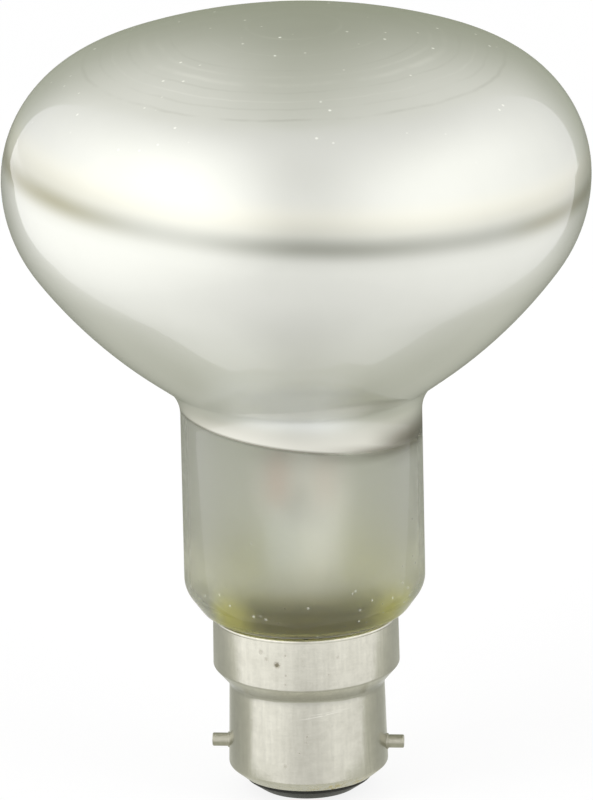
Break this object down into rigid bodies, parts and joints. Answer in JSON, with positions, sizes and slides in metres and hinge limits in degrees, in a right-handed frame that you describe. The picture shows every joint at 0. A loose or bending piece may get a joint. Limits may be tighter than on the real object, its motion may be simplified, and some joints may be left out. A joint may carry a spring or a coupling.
{
  "type": "reflector bulb",
  "caption": "Mirrored reflector bulb: domed frosted head, silvered bowl, translucent neck with glass stem and filament, aluminium bayonet cap.",
  "frame": {"origin": "on the bulb's axis in the plane of the two contacts, at the lowest point of the solder domes", "axes": "+Z along the bulb's axis from cap to head; +X and -X through the bayonet pins; the contacts lie along Y"},
  "size_m": [0.081, 0.081, 0.1108],
  "materials": {
    "envelope_glass": "smooth outside; mirrored bowl, frosted dome and neck",
    "stem_glass": "clear, flame polished",
    "support_wire": "drawn molybdenum",
    "filament": "drawn tungsten",
    "nickel_wire": "drawn nickel-plated iron",
    "copper_sheathed_wire": "copper sheath, dull pink",
    "outer_lead": "drawn copper",
    "cap_aluminium": "satin, with fine turning lines and handling marks",
    "basing_cement": "cured cement, yellow-green",
    "pin_metal": "tinned, worn",
    "black_glass": "glossy black, moulded",
    "contact_brass": "pressed",
    "solder": "melted, slightly dull"
  },
  "bodies": {
    "root": {"glass_envelope": "envelope_glass", "stem_flare": "stem_glass", "exhaust_tube": "stem_glass", "support_rod": "stem_glass", "support_wire_1": "support_wire", "support_wire_2": "support_wire", "support_wire_3": "support_wire", "support_wire_4": "support_wire", "filament": "filament", "inner_lead_left": "nickel_wire", "inner_lead_right": "nickel_wire", "seal_wire_left": "copper_sheathed_wire", "seal_wire_right": "copper_sheathed_wire", "outer_lead_left": "outer_lead", "outer_lead_right": "outer_lead", "cap_shell": "cap_aluminium", "basing_cement": "basing_cement", "bayonet_pin_left": "pin_metal", "bayonet_pin_right": "pin_metal", "insulator": "black_glass", "contact_plate_front": "contact_brass", "contact_plate_back": "contact_brass", "solder_front": "solder", "solder_back": "solder"}
  },
  "joints": []
}
